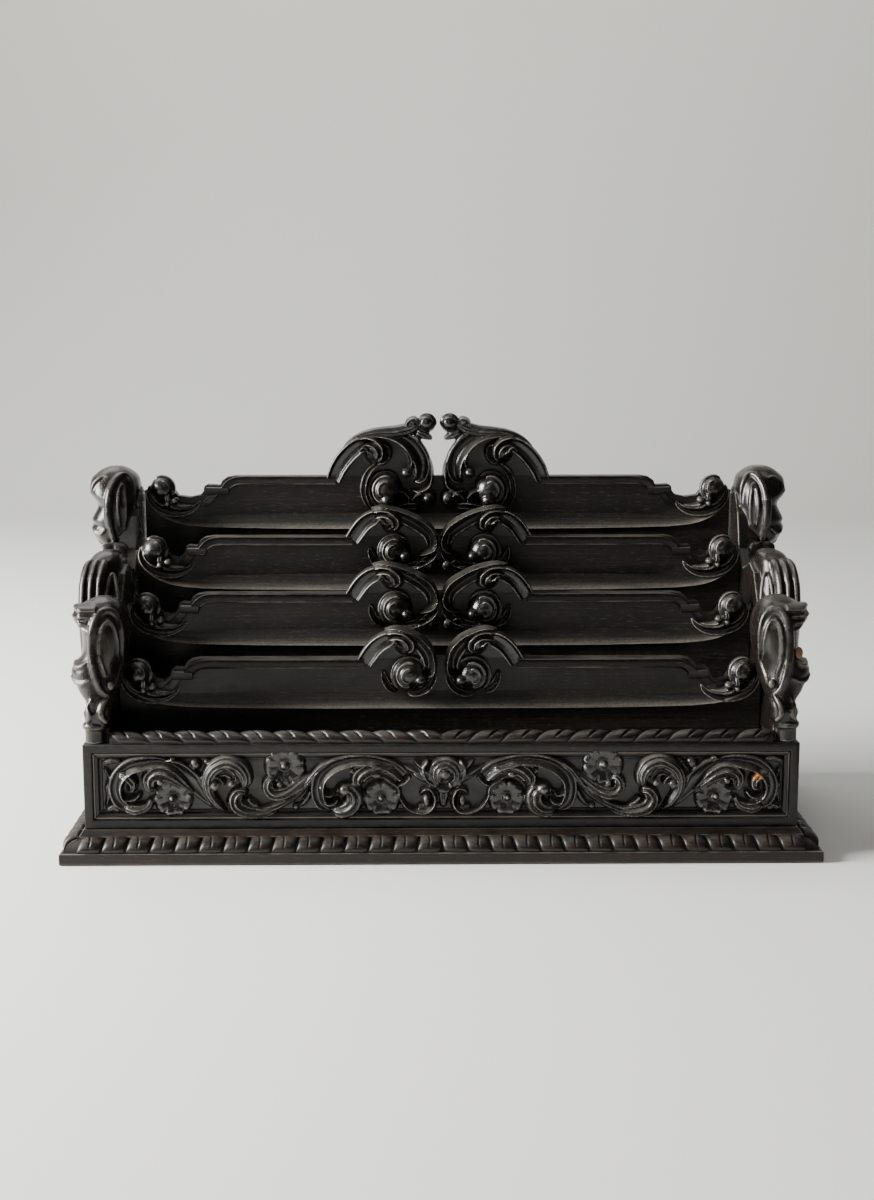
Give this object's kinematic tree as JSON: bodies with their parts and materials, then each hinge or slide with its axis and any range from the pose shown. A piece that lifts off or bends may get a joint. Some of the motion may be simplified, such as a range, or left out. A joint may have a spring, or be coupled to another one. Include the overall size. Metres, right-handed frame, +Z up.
{
  "type": "book display stand",
  "caption": "Carved dark hardwood rack: a box on a gadrooned plinth, stepped dividers with scroll crests, and scrolled end panels.",
  "frame": {"origin": "on the surface it stands on, under the middle of the base", "axes": "+X to the right along the dividers, +Y from the front to the back, +Z up"},
  "size_m": [0.4352, 0.202, 0.2405],
  "materials": {
    "ebony_boards": "waxed ebony, streaky brown grain, satin",
    "ebony_dividers": "waxed ebony, streaky brown grain, satin, pale wax in the hollows",
    "ebony_end_panels": "carved ebony, polished on the high points",
    "ebony_carving": "carved ebony, polished high points, dusty grooves",
    "ebony_mouldings": "waxed ebony mouldings, pale dust on the arrises",
    "ebony_plinth": "waxed ebony with a reddish worn edge",
    "screw_steel": "dull steel screw",
    "dowel_beech": "plain beech dowel"
  },
  "bodies": {
    "root": {"base_board": "ebony_boards", "base_screw_left_back": "screw_steel", "base_screw_left_front": "screw_steel", "base_screw_right_back": "screw_steel", "base_screw_right_front": "screw_steel", "box_back": "ebony_boards", "box_floor": "ebony_boards", "box_front": "ebony_boards", "box_side_left": "ebony_boards", "box_side_right": "ebony_boards", "divider_back": "ebony_dividers", "divider_front": "ebony_dividers", "divider_second": "ebony_dividers", "divider_third": "ebony_dividers", "dowel_left_back": "dowel_beech", "dowel_left_front": "dowel_beech", "dowel_right_back": "dowel_beech", "dowel_right_front": "dowel_beech", "end_panel_left": "ebony_end_panels", "end_panel_right": "ebony_end_panels", "front_bead_bottom": "ebony_mouldings", "front_bead_left": "ebony_mouldings", "front_bead_right": "ebony_mouldings", "front_bead_top": "ebony_mouldings", "front_carving": "ebony_carving", "left_bead_bottom": "ebony_mouldings", "left_bead_left": "ebony_mouldings", "left_bead_right": "ebony_mouldings", "left_bead_top": "ebony_mouldings", "left_carving": "ebony_carving", "plinth_back": "ebony_plinth", "plinth_front": "ebony_plinth", "plinth_left": "ebony_plinth", "plinth_right": "ebony_plinth", "rail_gadroon": "ebony_mouldings", "right_bead_bottom": "ebony_mouldings", "right_bead_left": "ebony_mouldings", "right_bead_right": "ebony_mouldings", "right_bead_top": "ebony_mouldings", "right_carving": "ebony_carving"}
  },
  "joints": []
}
